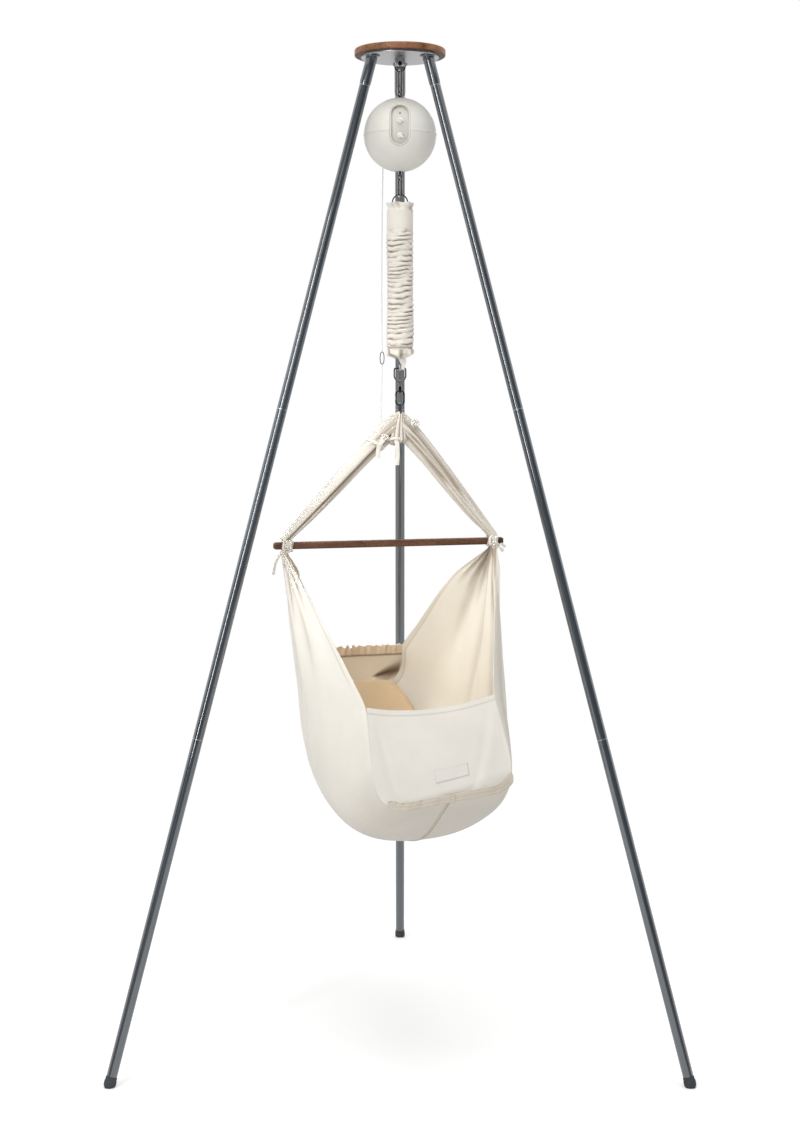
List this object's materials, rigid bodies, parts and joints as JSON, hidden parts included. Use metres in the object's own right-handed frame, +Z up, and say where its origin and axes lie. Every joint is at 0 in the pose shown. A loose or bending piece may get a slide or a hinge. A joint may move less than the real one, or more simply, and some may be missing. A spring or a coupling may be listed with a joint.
{
  "type": "baby spring hammock",
  "caption": "Cotton baby hammock with a spreader bar and mattress, hung by a covered spring and a motor ball from a tripod stand with a wooden top.",
  "frame": {"origin": "on the floor, at the middle of the box that holds the whole part", "axes": "+Z up, +X to the right and +Y to the back as the picture shows it, with the third leg at the back"},
  "size_m": [1.1252, 1.0482, 1.9868],
  "materials": {
    "walnut": "oiled satin",
    "slate": "semi-gloss slate blue grey powder coat",
    "steel": "satin",
    "chrome": "polished",
    "dark_steel": "dark polished",
    "rubber": "matt",
    "shell_white": "fine matt, warm off-white",
    "black_plastic": "smooth",
    "cotton": "undyed cotton, plain weave",
    "mattress_cotton": "undyed cotton, plain weave",
    "cord": "twisted white cord",
    "board": "green laminate"
  },
  "bodies": {
    "stand": {"wood_disc": "walnut", "top_plate": "steel", "hanging_bracket": "chrome", "bracket_pin": "chrome", "leg_socket_left": "slate", "upper_tube_left": "slate", "middle_tube_left": "slate", "lower_tube_left": "slate", "foot_left": "rubber", "leg_socket_right": "slate", "upper_tube_right": "slate", "middle_tube_right": "slate", "lower_tube_right": "slate", "foot_right": "rubber", "leg_socket_rear": "slate", "upper_tube_rear": "slate", "middle_tube_rear": "slate", "lower_tube_rear": "slate", "foot_rear": "rubber"},
    "ring": {"top_ring": "chrome"},
    "drive_unit": {"top_carabiner": "chrome", "ball_eyelet": "chrome", "upper_shell": "shell_white", "lower_shell": "shell_white", "control_panel": "shell_white", "status_lens": "black_plastic", "power_socket": "black_plastic", "chassis": "steel", "gear_motor": "dark_steel", "control_board": "board"},
    "top_gate_lever": {"top_gate": "chrome"},
    "speed_control": {"speed_knob": "shell_white"},
    "timer_control": {"timer_knob": "shell_white"},
    "drum": {"drive_drum": "steel"},
    "lift": {"lift_rod": "chrome", "drive_strap": "black_plastic", "lower_carabiner": "chrome", "split_ring": "chrome", "spring": "steel", "spring_cover": "cotton", "safety_cord": "cord"},
    "lower_gate_lever": {"lower_gate": "chrome"},
    "hanger": {"d_ring": "chrome", "cover_loop": "cotton", "swivel_eye": "dark_steel"},
    "hammock": {"snap_hook": "dark_steel", "apex_link": "dark_steel", "hanging_band": "cotton", "cord_ring": "dark_steel", "safety_hook": "chrome", "safety_cord_lower": "cord", "spreader_bar": "walnut", "tie_left": "cotton", "tie_right": "cotton", "sling_left": "cotton", "sling_right": "cotton", "foot_panel": "cotton", "head_panel": "cotton", "mattress": "mattress_cotton"},
    "snap_gate_lever": {"snap_gate": "dark_steel"}
  },
  "joints": [
    {"name": "ring_swing", "type": "hinge", "parent": "stand", "child": "ring", "pos_m": [0, -0.1238, 1.9596], "axis": [0, 1, 0], "range_deg": [-3, 3]},
    {"name": "unit_swing", "type": "hinge", "parent": "ring", "child": "drive_unit", "pos_m": [0, -0.1238, 1.944], "axis": [1, 0, 0], "range_deg": [-3, 3]},
    {"name": "drum_turn", "type": "hinge", "parent": "drive_unit", "child": "drum", "pos_m": [-0.0108, -0.1238, 1.8319], "axis": [0, 1, 0], "range_deg": [-27, 27]},
    {"name": "lift_travel", "type": "slide", "parent": "drive_unit", "child": "lift", "axis": [0, 0, 1], "range_m": [-0.005, 0.005], "deforming": ["drive_strap"]},
    {"name": "bounce", "type": "slide", "parent": "lift", "child": "hanger", "axis": [0, 0, 1], "range_m": [-0.06, 0.03], "stiffness_N_per_m": 600, "springref_m": 0.0557, "deforming": ["spring", "spring_cover", "safety_cord"]},
    {"name": "hook_swivel", "type": "hinge", "parent": "hanger", "child": "hammock", "pos_m": [0, -0.1238, 1.3183], "axis": [0, 0, 1], "range_deg": [-8, 8]},
    {"name": "top_gate_opening", "type": "hinge", "parent": "drive_unit", "child": "top_gate_lever", "pos_m": [-0.00338, -0.11655, 1.9182], "axis": [0.9063, 0.4226, 0], "range_deg": [0, 22], "stiffness_Nm_per_rad": 0.02, "springref_deg": -17.19},
    {"name": "lower_gate_opening", "type": "hinge", "parent": "lift", "child": "lower_gate_lever", "pos_m": [-0.00338, -0.11655, 1.7155], "axis": [0.9063, 0.4226, 0], "range_deg": [0, 22], "stiffness_Nm_per_rad": 0.02, "springref_deg": -17.19},
    {"name": "snap_gate_opening", "type": "hinge", "parent": "hammock", "child": "snap_gate_lever", "pos_m": [-0.008, -0.1238, 1.30076], "axis": [0, 1, 0], "range_deg": [0, 22], "stiffness_Nm_per_rad": 0.02, "springref_deg": -17.19},
    {"name": "speed_turn", "type": "hinge", "parent": "drive_unit", "child": "speed_control", "pos_m": [0, -0.18824, 1.83989], "axis": [0, -0.9632, 0.2689], "range_deg": [-135, 135]},
    {"name": "timer_turn", "type": "hinge", "parent": "drive_unit", "child": "timer_control", "pos_m": [0, -0.19, 1.81224], "axis": [0, -0.9895, -0.1444], "range_deg": [-135, 135]}
  ],
  "couplings": [
    {"joint": "drum_turn", "follows": "lift_travel", "rad_per_m": 92.593}
  ]
}
